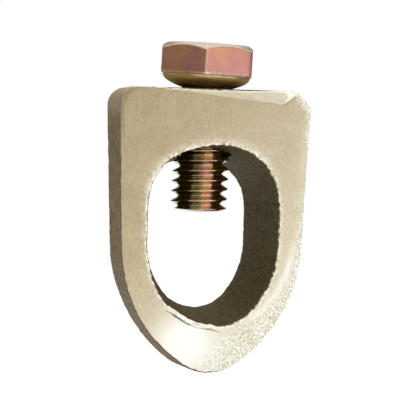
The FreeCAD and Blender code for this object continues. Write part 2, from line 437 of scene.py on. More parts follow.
class Ring:
    """The casting as a grid: a column for each direction round it, a row for each section point."""

    def __init__(self):
        outline = whole(body_half(FRONT_NOSE_Z))
        self.angles = even_angles(outline, AROUND)
        self.degrees = np.degrees(self.angles)
        self.outer_front = cut_corner(radius_at(outline, self.angles), self.angles)
        self.inner_front = radius_at(whole(opening_half(0.0, 0.0)), self.angles)
        self.burr = between(self.degrees, *BURR_RIM)
        self.left = smooth(*LEFT_START, self.degrees) + (1.0 - smooth(*LEFT_END, self.degrees))
        self.upper = between(self.degrees, *UPPER_RIM)
        self.on_right = column(between(self.degrees, *RIGHT_SIDE))
        share, shift, depth, self.part = section().T
        self.behind = depth - FRONT_Y
        self.place_rows(share, shift)
        self.front = (self.part == FRONT) * np.ones_like(self.radius)
        self.wobble = self.front_bumps(size=1.6, octaves=3, shift=2.0)
        self.beads = self.front_bumps(size=0.42, octaves=2, shift=12.0)
        self.y = np.broadcast_to(depth, self.radius.shape).copy()
        self.carve_front()

    def on_circle(self, radii):
        """Points round the ring at one radius for each direction, all at one depth."""
        return np.stack([radii * np.cos(self.angles), 0.0 * radii, radii * np.sin(self.angles)], 1)

    def rim_offset(self):
        """How far the opening's front edge is outside its outline: ragged, with a burr."""
        rim = self.on_circle(self.inner_front)
        ragged = RAGGED + RAGGED_MORE_ON_RIGHT * between(self.degrees, *RIGHT_RIM)
        offset = ragged * bumps(rim, size=0.45, octaves=3) + RIM_WAVE * bumps(rim, size=2.2, shift=5.0)
        offset -= BURR_REACH * self.burr
        offset -= DOME_SAG * bell(self.degrees, *DOME_SAG_PLACE)
        return offset

    def side_offset(self):
        """How far the outside's front edge is outside its outline."""
        rim = self.on_circle(self.outer_front)
        ragged = SIDE_RAGGED * bumps(rim, size=0.55, octaves=3, shift=9.0)
        return SIDE_SWELL * self.left - SIDE_SHRINK - ragged

    def place_rows(self, share, shift):
        """Lay the section's points in each direction, between the opening and the outside."""
        inner_back = radius_at(whole(opening_half(BACK_INSET, BACK_DROP)), self.angles)
        inner_back = inner_back + BACK_RISE * bell(self.degrees, *BACK_RISE_PLACE)
        outer_back = radius_at(whole(body_half(BACK_NOSE_Z)), self.angles)
        back_share = self.behind / DEPTH
        inner = column(self.inner_front) + column(inner_back - self.inner_front) * back_share
        outer = column(self.outer_front) + column(outer_back - self.outer_front) * back_share
        self.inner = inner + column(self.rim_offset()) * np.exp(-self.behind / RIM_FADE)
        self.outer = outer + column(self.side_offset()) * np.exp(-self.behind / SIDE_FADE)
        self.radius = self.inner * (1.0 - share) + self.outer * share + shift
        self.from_rim = self.radius - self.inner
        self.x = self.radius * column(np.cos(self.angles))
        self.z = RING_CENTRE_Z + self.radius * column(np.sin(self.angles))

    def front_bumps(self, size, octaves, shift):
        """Noise that runs straight through the casting from front to back."""
        points = np.stack([self.x.ravel(), 0.0 * self.x.ravel(), self.z.ravel()], 1)
        return bumps(points, size, octaves, shift).reshape(self.x.shape)

    def carve_front(self):
        """Set back the two facets, the cast slope, the worn corner and the cracks by the burr."""
        width = self.outer - self.inner
        across = np.clip(self.from_rim / width, 0.0, 1.0)
        self.beyond = (across - column(by_direction(GROUND_REACH, self.degrees))) * width
        blur = column(by_direction(GROUND_BLUR, self.degrees))
        self.rough = smooth(-1.0, 1.0, (self.beyond + GROUND_WANDER * self.wobble) / blur)
        self.facet = top_facet_depth(self.x, self.z)
        self.below = below_lower_line(self.x, self.z) + LOWER_LINE_WANDER * self.wobble
        below = np.maximum(self.below, 0.0)
        away = smooth(-CAST_FLATTENING_WIDTH, CAST_FLATTENING_WIDTH, self.beyond)
        lower = (below * LOWER_SLOPE + below ** 2 * LOWER_CURVE) * (1.0 - CAST_FLATTENING * away)
        lower = lower + CAST_SLOPE * CAST_BEND * np.logaddexp(0.0, self.beyond / CAST_BEND)
        near_side = np.clip(1.0 - (self.outer - self.radius) / WORN_CORNER_WIDTH, 0.0, 1.0)
        corner = WORN_CORNER * column(bell(self.degrees, *WORN_CORNER_PLACE)) * near_side ** 2
        cracks = bell(self.from_rim, *CRACK) * np.clip(0.8 + 0.8 * self.wobble, 0.0, 1.0)
        cracks += 0.5 * bell(self.from_rim, *FINE_CRACK) * np.clip(0.2 - 2.0 * self.wobble, 0.0, 1.0)
        self.groove = column(self.burr) * cracks
        recess = np.maximum(self.facet, lower) + corner + CRACK_DEPTH * self.groove
        near_front = np.clip(1.0 - self.behind / CARVING_DEPTH, 0.0, 1.0)
        self.y += recess * near_front

    def ground(self):
        """Where the brass was ground or rubbed smooth: 1 there, and 0 on cast skin."""
        ground = np.where(self.part == FRONT, 1.0 - self.rough, 0.0)
        ground = np.where(self.part == BACK, 1.0, ground)
        outside = self.part == OUTSIDE
        on_top = outside * smooth(TOP_Z - 0.5, TOP_Z - 0.1, self.z)
        ground = np.maximum(ground, TOP_GROUND * on_top * np.clip(self.behind / 0.6, 0.0, 1.0))
        upper_side = outside * smooth(*UPPER_SIDE_Z, self.z) * column(self.left)
        return np.maximum(ground, UPPER_SIDE_GROUND * upper_side)

    def rubbed(self):
        """Where cast skin is rubbed bright on its high spots: the front, and the right edge."""
        edge = self.on_right * np.exp(-self.behind / RIM_FADE)
        return np.where(self.part == FRONT, 1.0, np.where(self.part == OUTSIDE, edge, 0.0))

    def polish_and_highlight(self):
        """The bright spot on the lower facet, partly real polish and partly a painted highlight where
        it reflects the floor, and a painted highlight streak along the seam beside the cast slope.
        """
        square = (self.x - BRIGHT_SPOT_X) ** 2 + (self.z - BRIGHT_SPOT_Z) ** 2
        spot = 1.25 * np.exp(-square / (2.0 * BRIGHT_SPOT_SIZE ** 2)) * self.front
        seam = bell(self.beyond, *SEAM_PLACE) * self.front * column(between(self.degrees, *SEAM_RIM))
        return np.maximum(np.minimum(spot, 1.0), SEAM_SHINE * seam)

    def rim(self):
        """The bead round the opening's front edge and the burr's lip, where a painted highlight is
        laid, widest above.
        """
        reach = column(RIM_SHINE_REACH + RIM_SHINE_MORE_ABOVE * self.upper)
        rim = np.exp(-np.maximum(self.from_rim - INNER_FRONT_ROUND, 0.0) / reach)
        rim = rim * np.exp(-self.behind / RIM_SHINE_DEPTH)
        rim = rim * np.clip(0.55 + 1.3 * self.beads + 0.25 * column(self.upper), 0.0, 1.0)
        lip = column(self.burr) * self.front * (1.0 - smooth(*LIP, self.from_rim))
        return np.maximum(rim, lip * np.clip(0.55 + 1.4 * self.beads, 0.0, 1.0))

    def nicks(self):
        """Small dents along the front's top edge."""
        nicks = np.zeros_like(self.radius)
        for nick_x in NICKS_X:
            gap = ((self.x - nick_x) / NICK_SIZE[0]) ** 2
            gap = gap + ((self.z - TOP_Z + 0.05) / NICK_SIZE[2]) ** 2
            gap = gap + ((self.y - FRONT_Y - 0.2) / NICK_SIZE[1]) ** 2
            nicks += np.exp(-gap)
        return nicks

    def roughened(self, ground, rim, nicks):
        """The grid's points after sand grains, pits and dents have moved them in or out."""
        grid = np.stack([self.x, self.y, self.z], 2)
        normals = grid_normals(grid)
        if np.sum(normals[:, :FRONT_STEPS, 1]) > 0.0:
            normals = -normals
        flat = grid.reshape(-1, 3)
        shape = self.radius.shape
        sand = bumps(flat, size=1.3, octaves=4).reshape(shape)
        grains = bumps(flat, size=0.34, octaves=2, shift=3.0).reshape(shape)
        holes = pits(flat, size=0.9, shift=1.0).reshape(shape)
        edge_grain = bumps(flat, size=0.30, octaves=2, shift=7.0).reshape(shape)
        skin = SAND_HEIGHT * sand + GRAIN_HEIGHT * grains - PIT_DEPTH * holes - SKIN_SHRINK
        lift = (1.0 - ground) * skin
        lift += ground * GROUND_WAVE * sand
        lift += self.front * self.rough * (RUBBED_LIFT - RUBBED_PITS * holes + RUBBED_GRAIN * grains)
        lift += rim * (RIM_BEAD + RIM_GRAIN * edge_grain)
        lift -= NICK_DEPTH * nicks
        flat = (grid + normals * lift[:, :, None]).reshape(-1, 3)
        low = (body_low.x + SLACK, FRONT_Y + SLACK, body_low.z + SLACK)
        high = (body_high.x - SLACK, BACK_Y - SLACK, TOP_Z - SLACK)
        return np.clip(flat, low, high)


def make_casting():
    """The brass eye, before its bolt hole is cut."""
    ring = Ring()
    ground = ring.ground()
    rim = ring.rim()
    nicks = ring.nicks()
    # Painted shadow along the left side's front edge.
    edge_shadow = (ring.part == OUTSIDE) * bell(ring.behind, *EDGE_SHADOW_PLACE) * (1.0 - ring.on_right)
    masks = {
        "ground": ground,
        "facet": smooth(0.0, 0.02, ring.facet) * ring.front,
        "lower": smooth(-0.1, 0.9, ring.below) * (1.0 - ring.rough) * ring.front,
        "polish_and_highlight": ring.polish_and_highlight(),
        "rim": rim,
        "inside": (ring.part == OPENING) * np.ones_like(ring.radius),
        # Painted shade: darkened dents, cracks by the burr, and the shadow line on the left side.
        "dent_crack_and_edge_shade": np.clip(nicks + 0.8 * ring.groove + 0.6 * edge_shadow, 0.0, 1.0),
        "rubbed": ring.rubbed(),
    }
    attributes = {title: mask.ravel() for title, mask in masks.items()}
    points = ring.roughened(ground, rim, nicks)
    return make_object("casting", points, ring_faces(*ring.radius.shape), attributes)


# ---- the bolt ----
SECTOR = math.radians(60.0)  # from one corner of the head to the next
FIRST_CORNER = HEX_TURN - math.pi / 2.0
SECTOR_STEPS = 26
SECTOR_CROWDING = 1.9  # how much closer the columns stand at the corners
CORNER_ROUND = 0.04
CORNER_SOFTNESS = 0.10
CORNER_REACH = 7.3  # about how far out the head's corners are
THREAD_STEP = 0.07
THREAD_SOFTNESS = 0.05
HOLE_CLEARANCE = 0.05
HOLE_GROOVE = 0.26
HOLE_MOUTH = 1.3  # how much wider the cutter is at its top, above the casting
HOLE_OVERRUN = 3.0  # how far the cutter passes the opening's top
TOP_ROWS = 14
CHAMFER_ROWS = 6
SIDE_ROWS = 16
COLLAR_ROWS = 16
TIP_ROWS = 12


def bolt_angles():
    """Directions round the bolt, closest together at the head's six corners."""
    spread = np.linspace(-1.0, 1.0, SECTOR_STEPS, endpoint=False)
    within = np.sign(spread) * (1.0 - (1.0 - np.abs(spread)) ** SECTOR_CROWDING)
    angles = []
    for side in range(6):
        angles.append(FIRST_CORNER + SECTOR * side + SECTOR / 2.0 * (1.0 + within))
    return np.concatenate(angles)


def hexagon(angles):
    """Radius of the head's sides, with slightly rounded corners."""
    turned = np.mod(angles - FIRST_CORNER, SECTOR) - SECTOR / 2.0
    flat = ACROSS_FLATS / 2.0 / np.cos(turned)
    corner = ACROSS_FLATS / math.sqrt(3.0) - CORNER_ROUND
    return flat - CORNER_SOFTNESS * np.log1p(np.exp((flat - corner) / CORNER_SOFTNESS))


def thread_radius(angles, height, crest, depth):
    """A right-hand 60 degree thread, softened a little at root and crest by its plating."""
    turns = (height + THREAD_SHIFT) / PITCH - angles / (2.0 * math.pi)
    phase = np.mod(turns, 1.0) - 0.5
    from_crest = np.abs(phase) * PITCH - CREST_WIDTH / 2.0
    drop = np.maximum(from_crest, 0.0) / math.tan(math.radians(30.0))
    return crest - depth + THREAD_SOFTNESS * np.logaddexp(0.0, (depth - drop) / THREAD_SOFTNESS)


def to_bolt_place(points):
    """From the bolt's own axis to the leaning hole."""
    cosine = math.cos(LEAN)
    sine = math.sin(LEAN)
    x = points[:, 0] * cosine + points[:, 2] * sine + HOLE_X
    z = -points[:, 0] * sine + points[:, 2] * cosine + TOP_Z
    return np.stack([x, points[:, 1], z], 1)


def turned_solid(rows, angles):
    """Points and faces of a closed solid: rows of radii and heights, with its ends capped."""
    points = []
    for radius, height in rows:
        ring = np.stack([radius * np.cos(angles), radius * np.sin(angles),
                         height * np.ones_like(angles)], 1)
        points.append(ring)
    points = np.concatenate(points)
    around = len(angles)
    faces = []
    for row in range(len(rows) - 1):
        for place in range(around):
            beside = (place + 1) % around
            faces.append(((row + 1) * around + place, (row + 1) * around + beside,
                          row * around + beside, row * around + place))
    ends = []
    for row, turn in ((0, 1), (len(rows) - 1, -1)):
        centre = len(points) + len(ends)
        ends.append((0.0, 0.0, float(np.mean(points[row * around:(row + 1) * around, 2]))))
        for place in range(around):
            beside = (place + 1) % around
            pair = (row * around + place, row * around + beside)[::turn]
            faces.append((pair[0], pair[1], centre))
    return np.concatenate([points, ends]), faces


def chamfer_height(radius):
    """Height of the head's chamfered top at a distance from its axis."""
    return HEX_TOP - np.maximum(radius - HEAD_TOP_RADIUS, 0.0) * CHAMFER_SLOPE


def head_rows(angles):
    """The head from its top down: flat, chamfer, six sides, collar and neck.

    Each edge is rounded over by a row or two that stand just inside it.
    """
    ones = np.ones_like(angles)
    sides = hexagon(angles)
    chamfer_z = chamfer_height(sides)
    rows = []
    for radius in np.linspace(0.4, HEAD_TOP_RADIUS - 0.25, TOP_ROWS):
        rows.append((radius * ones, HEX_TOP * ones))
    rows.append(((HEAD_TOP_RADIUS - 0.08) * ones, (HEX_TOP - 0.015) * ones))
    for share in np.linspace(0.12, 0.88, CHAMFER_ROWS):
        rows.append((HEAD_TOP_RADIUS + (sides - HEAD_TOP_RADIUS) * share,
                     HEX_TOP + (chamfer_z - HEX_TOP) * share - 0.02))
    rows.append((sides - 0.03, chamfer_z - 0.015))
    rows.append((sides, chamfer_z - 0.08))
    for share in np.linspace(0.05, 0.95, SIDE_ROWS):
        rows.append((sides, chamfer_z + (HEX_BOTTOM + 0.14 - chamfer_z) * share))
    rows.append((sides - 0.03, (HEX_BOTTOM + 0.06) * ones))
    rows.append((sides - 0.12, HEX_BOTTOM * ones))
    underside = np.minimum(sides - 0.2, COLLAR_RADIUS)
    for drop in np.linspace(0.0, 1.0, COLLAR_ROWS):
        spread = (underside - NECK_RADIUS) * (1.0 - drop ** COLLAR_POWER)
        rows.append((NECK_RADIUS + spread, (HEX_BOTTOM - COLLAR_DEPTH * drop) * ones))
    return rows


def thread_rows(angles):
    """The thread from its run-out under the head down to the chamfered tip."""
    rows = []
    rim_z = TIP_Z + TIP_DOME
    count = int(round((THREAD_TOP - rim_z) / THREAD_STEP))
    for height in np.linspace(THREAD_TOP, rim_z + 0.02, count):
        crest_limit = NECK_RADIUS + max(THREAD_TOP - height, 0.0)
        tip_limit = THREAD_RADIUS - TIP_CHAMFER + (height - rim_z) / TIP_STEEPNESS + 0.06
        radius = thread_radius(angles, height, THREAD_RADIUS, THREAD_DEPTH)
        radius = np.minimum(radius, min(crest_limit, tip_limit))
        rows.append((radius, height * np.ones_like(angles)))
    return rows


def tip_rows(angles):
    """The turned end, rounded over."""
    ones = np.ones_like(angles)
    rows = []
    for share in np.linspace(0.97, 0.12, TIP_ROWS):
        height = TIP_Z + TIP_DOME * share ** 2
        rows.append(((THREAD_RADIUS - TIP_CHAMFER) * share * ones, height * ones))
    return rows


def on_head(height):
    """1 over the head, 0 over neck and thread."""
    return smooth(-0.3, 0.0, height)


def roughened_bolt(points):
    """The bolt's points after dents, burrs along the head's lower edge, and wear on the thread."""
    height = points[:, 2]
    out = np.hypot(points[:, 0], points[:, 1])
    outward = points * np.array([1.0, 1.0, 0.0]) / np.maximum(out, 0.5)[:, None]
    dents = 0.020 * bumps(points, size=1.4, octaves=3, shift=4.0) - 0.005
    burrs = 0.05 * np.maximum(bumps(points, size=0.35, octaves=2, shift=6.0), 0.0)
    wear = 0.030 * bumps(points, size=0.5, octaves=2, shift=8.0) - 0.01
    on_thread = smooth(-THREAD_TOP, -THREAD_TOP + 0.6, -height)
    lift = on_head(height) * (dents + burrs * bell(height, HEX_BOTTOM + 0.15, 0.22))
    return points + outward * (lift + on_thread * wear)[:, None]


def bolt_masks(points, rough_points):
    """Where the bolt's surface differs: painted highlight, partly real wear, on the head's edges;
    painted light under the head and at the neck; painted shade on the tip. The edges' pattern follows
    the roughened points.
    """
    height = points[:, 2]
    out = np.hypot(points[:, 0], points[:, 1])
    around = np.arctan2(points[:, 1], points[:, 0]) - FIRST_CORNER
    head = on_head(height)

    from_corner = np.mod(around + SECTOR / 2.0, SECTOR) - SECTOR / 2.0
    corner = bell(from_corner * CORNER_REACH, 0.06, 0.14)
    corner = corner * smooth(6.2, 6.3, out) * smooth(HEX_BOTTOM, HEX_BOTTOM + 0.1, height)
    lower_edge = bell(height, HEX_BOTTOM + 0.10, 0.13) * smooth(6.0, 6.3, out)
    patchy = np.clip(0.45 + 1.8 * bumps(rough_points, size=0.40, octaves=2, shift=11.0), 0.0, 1.0)
    # Partly real wear, partly painted highlight: the paled edges are kept mostly to every other side,
    # which takes in the lit right face.
    every_other_side = np.where(np.mod(around, 2.0 * SECTOR) < SECTOR, 1.0, 0.15)
    wear_and_highlight = 0.15 * corner + lower_edge * patchy * every_other_side

    chamfer = smooth(HEAD_TOP_RADIUS - 0.1, HEAD_TOP_RADIUS + 0.1, out)
    chamfer = chamfer * smooth(-0.12, -0.05, height - chamfer_height(out))
    return {
        "head": head,
        "wear_and_highlight": np.clip(wear_and_highlight, 0.0, 1.0),
        "chamfer": chamfer,
        "tip": smooth(-0.10, 0.05, TIP_Z + TIP_DOME - height),
        "under": head * (1.0 - smooth(HEX_BOTTOM + 0.08, HEX_BOTTOM + 0.18, height)),
        "low": head * (1.0 - smooth(0.3, 1.1, height)),
    }


def make_bolt():
    """The set bolt, head and thread in one."""
    angles = bolt_angles()
    rows = head_rows(angles) + thread_rows(angles) + tip_rows(angles)
    points, faces = turned_solid(rows, angles)
    rough_points = roughened_bolt(points)
    masks = bolt_masks(points, rough_points)
    return make_object("set_bolt", to_bolt_place(rough_points), faces, masks)


def make_hole_cutter():
    """The bolt hole, with a chamfered mouth and a shallow spiral groove clear of the bolt."""
    angles = np.linspace(0.0, 2.0 * math.pi, 96, endpoint=False)
    ones = np.ones_like(angles)
    clear = THREAD_RADIUS + HOLE_CLEARANCE
    rows = [((clear + HOLE_MOUTH) * ones, 0.8 * ones)]
    for height in np.arange(-0.5, OPENING_TOP - TOP_Z - HOLE_OVERRUN, -0.12):
        groove = thread_radius(angles + math.pi, height, HOLE_GROOVE, HOLE_GROOVE)
        rows.append((clear + groove * smooth(0.5, 1.2, -height), height * ones))
    points, faces = turned_solid(rows, angles)
    return make_object("hole_cutter", to_bolt_place(points), faces)


def cut_hole(piece, cutter):
    """Take the cutter out of the piece for good, and drop the cutter."""
    step = piece.modifiers.new("hole", "BOOLEAN")
    step.operation = "DIFFERENCE"
    step.object = cutter
    step.solver = "MANIFOLD"
    evaluated = piece.evaluated_get(bpy.context.evaluated_depsgraph_get())
    mesh = bpy.data.meshes.new_from_object(evaluated)
    piece.modifiers.clear()
    piece.data = mesh
    bpy.data.objects.remove(cutter)


# ---- materials ----
class Nodes:
    """A material's node tree, with short ways to add and join nodes."""

    def __init__(self, name):
        self.material = bpy.data.materials.new(name)
        self.material.use_nodes = True
        self.tree = self.material.node_tree
        self.shader = self.tree.nodes["Principled BSDF"]

    def add(self, kind, settings=None, **inputs):
        node = self.tree.nodes.new(kind)
        for key, value in (settings or {}).items():
            setattr(node, key, value)
        for key, value in inputs.items():
            self.join(value, node.inputs[key.replace("_", " ")])
        return node

    def join(self, value, socket):
        if isinstance(value, bpy.types.NodeSocket):
            self.tree.links.new(value, socket)
        else:
            socket.default_value = value

    def mask(self, title):
        return self.add("ShaderNodeAttribute", {"attribute_name": title}).outputs["Fac"]

    def math(self, operation, first, second):
        node = self.add("ShaderNodeMath", {"operation": operation})
        self.join(first, node.inputs[0])
        self.join(second, node.inputs[1])
        return node.outputs[0]

    def blend(self, share, first, second, kind="MIX"):
        node = self.add("ShaderNodeMix", {"data_type": "RGBA", "blend_type": kind})
        self.join(share, node.inputs[0])
        self.join(first, node.inputs[6])
        self.join(second, node.inputs[7])
        return node.outputs[2]

    def mix_numbers(self, share, first, second):
        node = self.add("ShaderNodeMix", {"data_type": "FLOAT"})
        self.join(share, node.inputs[0])
        self.join(first, node.inputs[2])
        self.join(second, node.inputs[3])
        return node.outputs[0]

    def coordinates(self, turn=(0.0, 0.0, 0.0), scale=(1.0, 1.0, 1.0)):
        place = self.add("ShaderNodeTexCoord").outputs["Object"]
        turned = self.add("ShaderNodeMapping", Vector=place, Rotation=turn)
        return self.add("ShaderNodeMapping", Vector=turned.outputs[0], Scale=scale).outputs[0]

    def noise(self, place, scale, detail=3.0, roughness=0.55):
        node = self.add("ShaderNodeTexNoise", Vector=place, Scale=scale, Detail=detail,
                        Roughness=roughness)
        return node.outputs["Fac"]

    def ramp(self, value, stops):
        node = self.add("ShaderNodeValToRGB", Fac=value)
        elements = node.color_ramp.elements
        while len(elements) < len(stops):
            elements.new(0.5)
        for element, (place, colour) in zip(elements, stops):
            element.position = place
            element.color = colour
        return node.outputs[0]

    def spread(self, value, low, high, to_low=0.0, to_high=1.0):
        node = self.add("ShaderNodeMapRange", Value=value)
        node.inputs[1].default_value = low
        node.inputs[2].default_value = high
        node.inputs[3].default_value = to_low
        node.inputs[4].default_value = to_high
        return node.outputs[0]

    def finish(self, colour, roughness, height, distance, metallic=1.0):
        bump = self.add("ShaderNodeBump", Strength=1.0, Distance=distance, Height=height)
        self.join(colour, self.shader.inputs["Base Color"])
        self.join(roughness, self.shader.inputs["Roughness"])
        self.join(metallic, self.shader.inputs["Metallic"])
        self.join(bump.outputs[0], self.shader.inputs["Normal"])
        return self.material


def grey(value):
    return (value, value, value, 1.0)


# Pale brass for the bright spot, the seam and the top facet: partly real polish, partly painted
# highlight.
PALE_BRASS = (0.93, 0.92, 0.86, 1.0)
SCRATCH_BRASS = (0.86, 0.80, 0.66, 1.0)
# Painted highlight along the opening's front edge.
RIM_HIGHLIGHT_BRASS = (0.98, 0.94, 0.82, 1.0)
# Painted shade in dents, cracks and along the left edge.
SHADE_BROWN = (0.05, 0.04, 0.025, 1.0)
WARM_BRASS = ((0.30, (0.505, 0.405, 0.245, 1.0)), (0.70, (0.575, 0.470, 0.295, 1.0)))
# Painted highlight: the paler brass that the face turns to towards the lower right.
PALER_BRASS = ((0.30, (0.640, 0.595, 0.460, 1.0)), (0.70, (0.720, 0.680, 0.535, 1.0)))
STREAKS = ((0.30, grey(0.72)), (0.70, grey(1.04)))
CAST_SKIN = (
    (0.32, (0.050, 0.031, 0.014, 1.0)),
    (0.50, (0.135, 0.094, 0.043, 1.0)),
    (0.68, (0.270, 0.205, 0.105, 1.0)),
)
# Partly the opening's own darker skin, partly painted shade.
OPENING_SKIN_AND_SHADE = ((0.34, (0.022, 0.015, 0.002, 1.0)), (0.66, (0.150, 0.110, 0.030, 1.0)))
RUBBED_SKIN = (
    (0.38, (0.60, 0.57, 0.44, 1.0)),
    (0.50, (0.74, 0.71, 0.59, 1.0)),
    (0.60, (1.00, 0.98, 0.93, 1.0)),
)
PALER_WITHIN = 0.018  # the brass turns from warm to pale over this, in metres, as a painted highlight
PALER_SLANT = -0.75  # how much height counts beside distance to the right

# The faint curved scratch over the opening, in metres.
ARC_X = -0.0007
ARC_Z = 0.0169
ARC_RADIUS = 0.00325
ARC_EDGE = (0.00009, 0.00003)
ARC_ABOVE = (0.0026, 0.0030)
ARC_BEHIND = (-0.0040, -0.0050)

HEAD_FILM = (
    (0.28, (0.400, 0.340, 0.110, 1.0)),
    (0.38, (0.560, 0.290, 0.150, 1.0)),
    (0.47, (0.530, 0.250, 0.165, 1.0)),
    (0.55, (0.480, 0.222, 0.203, 1.0)),
    (0.63, (0.490, 0.240, 0.205, 1.0)),
    (0.71, (0.450, 0.205, 0.220, 1.0)),
)
HEAD_FILM_DRIFT = 8.0  # how fast the head's colours go by to the right, per metre
THREAD_FILM = (
    (0.38, (0.570, 0.480, 0.270, 1.0)),
    (0.48, (0.590, 0.430, 0.250, 1.0)),
    (0.58, (0.610, 0.370, 0.320, 1.0)),
)
# Painted shade: the darker olive on the left of the thread.
THREAD_SHADE = (0.380, 0.310, 0.170, 1.0)
THREAD_SHADE_EDGE = (-0.0017, -0.0010)
# Painted light: the head's underside is brightened to stand in for light from the lit casting below
# it.
LIT_UNDERSIDE_ZINC = (0.470, 0.360, 0.170, 1.0)
# Painted light: a glow towards the neck, standing in for light bounced up from the casting.
NECK_GLOW_ZINC = (0.900, 0.700, 0.380, 1.0)
CHAMFER_ZINC = (0.370, 0.320, 0.245, 1.0)
# Partly real bare zinc, partly painted highlight on the head's edges.
BARE_ZINC_AND_HIGHLIGHT = (0.80, 0.76, 0.68, 1.0)
# Painted shade: the darkened end of the bolt.
TIP_SHADE_ZINC = (0.210, 0.190, 0.150, 1.0)


def brushing(nodes, lower, facet):
    """Brush marks: the upright ones by themselves, and all three directions together."""
    upright = nodes.coordinates((0.0, math.radians(4.0), 0.0), (5600.0, 2500.0, 1900.0))
    slanted = nodes.coordinates((0.0, math.radians(36.0), 0.0), (6500.0, 2500.0, 600.0))
    level = nodes.coordinates((0.0, math.radians(-20.0), 0.0), (420.0, 2500.0, 6500.0))
    upright_marks = nodes.noise(upright, 1.0, 4.0, 0.7)
    slanted_marks = nodes.noise(slanted, 1.0, 4.0, 0.7)
    level_marks = nodes.noise(level, 1.0, 3.0, 0.6)
    marks = nodes.blend(lower, upright_marks, slanted_marks)
    return upright_marks, nodes.blend(facet, marks, level_marks)


def curved_scratch(nodes, split, upright_marks):
    """1 along a faint broken arc over the opening, on the front only."""
    from_x = nodes.math("SUBTRACT", split.outputs["X"], ARC_X)
    from_z = nodes.math("SUBTRACT", split.outputs["Z"], ARC_Z)
    square_x = nodes.math("MULTIPLY", from_x, from_x)
    square_z = nodes.math("MULTIPLY", from_z, from_z)
    reach = nodes.math("SQRT", nodes.math("ADD", square_x, square_z), 0.0)
    off_arc = nodes.math("ABSOLUTE", nodes.math("SUBTRACT", reach, ARC_RADIUS), 0.0)
    on_arc = nodes.spread(off_arc, *ARC_EDGE)
    on_arc = nodes.math("MULTIPLY", on_arc, nodes.spread(from_z, *ARC_ABOVE))
    on_arc = nodes.math("MULTIPLY", on_arc, nodes.spread(upright_marks, 0.40, 0.60))
    return nodes.math("MULTIPLY", on_arc, nodes.spread(split.outputs["Y"], *ARC_BEHIND))


def ground_brass(nodes, plain, upright_marks, marks):
    """Brushed brass, paler towards the lower right as a painted highlight, where the face reflects the
    bright floor.
    """
    clouds = nodes.noise(plain, 260.0, 3.0)
    split = nodes.add("ShaderNodeSeparateXYZ", Vector=plain)
    slanting = nodes.math("MULTIPLY", split.outputs["Z"], PALER_SLANT)
    slanting = nodes.math("ADD", split.outputs["X"], slanting)
    paler_share = nodes.spread(slanting, -PALER_WITHIN, PALER_WITHIN)
    colour = nodes.blend(paler_share, nodes.ramp(clouds, WARM_BRASS), nodes.ramp(clouds, PALER_BRASS))
    colour = nodes.blend(1.0, colour, nodes.ramp(marks, STREAKS), "MULTIPLY")
    scratch_place = nodes.coordinates((0.3, 0.9, 0.0), (9000.0, 900.0, 420.0))
    scratches = nodes.spread(nodes.noise(scratch_place, 1.0, 2.0, 0.5), 0.70, 0.76)
    colour = nodes.blend(nodes.math("MULTIPLY", scratches, 0.35), colour, SCRATCH_BRASS)
    arc_mark = curved_scratch(nodes, split, upright_marks)
    return nodes.blend(nodes.math("MULTIPLY", arc_mark, 0.6), colour, SCRATCH_BRASS)


def cast_brass(nodes, plain, skin_noise, rubbed, polish_and_highlight):
    """Brown cast skin, darker inside the opening, partly its own darker skin and partly painted shade,
    and bright where it is rubbed.
    """
    skin = nodes.ramp(skin_noise, CAST_SKIN)
    # Partly painted shade: the opening's walls are darker than the outside skin.
    dark = nodes.ramp(nodes.noise(plain, 2400.0, 4.0, 0.7), OPENING_SKIN_AND_SHADE)
    skin = nodes.blend(nodes.mask("inside"), skin, dark)
    bright = nodes.ramp(nodes.noise(plain, 4200.0, 3.0, 0.65), RUBBED_SKIN)
    # Painted highlight, partly real polish: the bright spot is blended towards pale brass over rubbed
    # skin too.
    bright = nodes.blend(nodes.math("MULTIPLY", polish_and_highlight, 0.8), bright, PALE_BRASS)
    return nodes.blend(rubbed, skin, bright)


def brass_material():
    """Ground brass with fine straight marks, and sand-cast skin where it wasn't ground."""
    nodes = Nodes("cast_and_ground_brass")
    ground = nodes.mask("ground")
    polish_and_highlight = nodes.mask("polish_and_highlight")
    facet = nodes.mask("facet")
    rim = nodes.mask("rim")
    rubbed = nodes.mask("rubbed")
    plain = nodes.coordinates()
    upright_marks, marks = brushing(nodes, nodes.mask("lower"), facet)

    face = ground_brass(nodes, plain, upright_marks, marks)
    # Painted highlight, partly real polish: the bright spot and the seam are blended towards pale
    # brass.
    polish_and_highlight_share = nodes.math("MULTIPLY", polish_and_highlight, 0.9)
    # Painted highlight: the top facet is blended a quarter of the way to pale brass.
    bright = nodes.math("MAXIMUM", polish_and_highlight_share, nodes.math("MULTIPLY", facet, 0.25))
    face = nodes.blend(bright, face, PALE_BRASS)
    skin_noise = nodes.noise(plain, 1700.0, 5.0, 0.65)
    skin = cast_brass(nodes, plain, skin_noise, rubbed, polish_and_highlight)
    colour = nodes.blend(ground, skin, face)
    # Painted highlight: near-white brass along the opening's front edge and the burr's lip.
    colour = nodes.blend(nodes.math("MULTIPLY", rim, 0.85), colour, RIM_HIGHLIGHT_BRASS)
    # Painted shade in the dents, the burr's cracks and along the left edge.
    colour = nodes.blend(nodes.mask("dent_crack_and_edge_shade"), colour, SHADE_BROWN)

    ground_rough = nodes.spread(marks, 0.3, 0.7, 0.34, 0.46)
    skin_rough = nodes.spread(skin_noise, 0.3, 0.7, 0.60, 0.80)
    roughness = nodes.mix_numbers(ground, skin_rough, ground_rough)
    shiny = nodes.math("MAXIMUM", nodes.math("MAXIMUM", ground, rubbed), rim)
    metallic = nodes.spread(shiny, 0.0, 1.0, 0.35, 1.0)

    grit = nodes.noise(plain, 5200.0, 4.0, 0.7)
    height = nodes.mix_numbers(ground, nodes.math("MULTIPLY", grit, 5.0), marks)
    nodes.shader.inputs["Specular IOR Level"].default_value = 0.25
    return nodes.finish(colour, roughness, height, 0.000012, metallic)


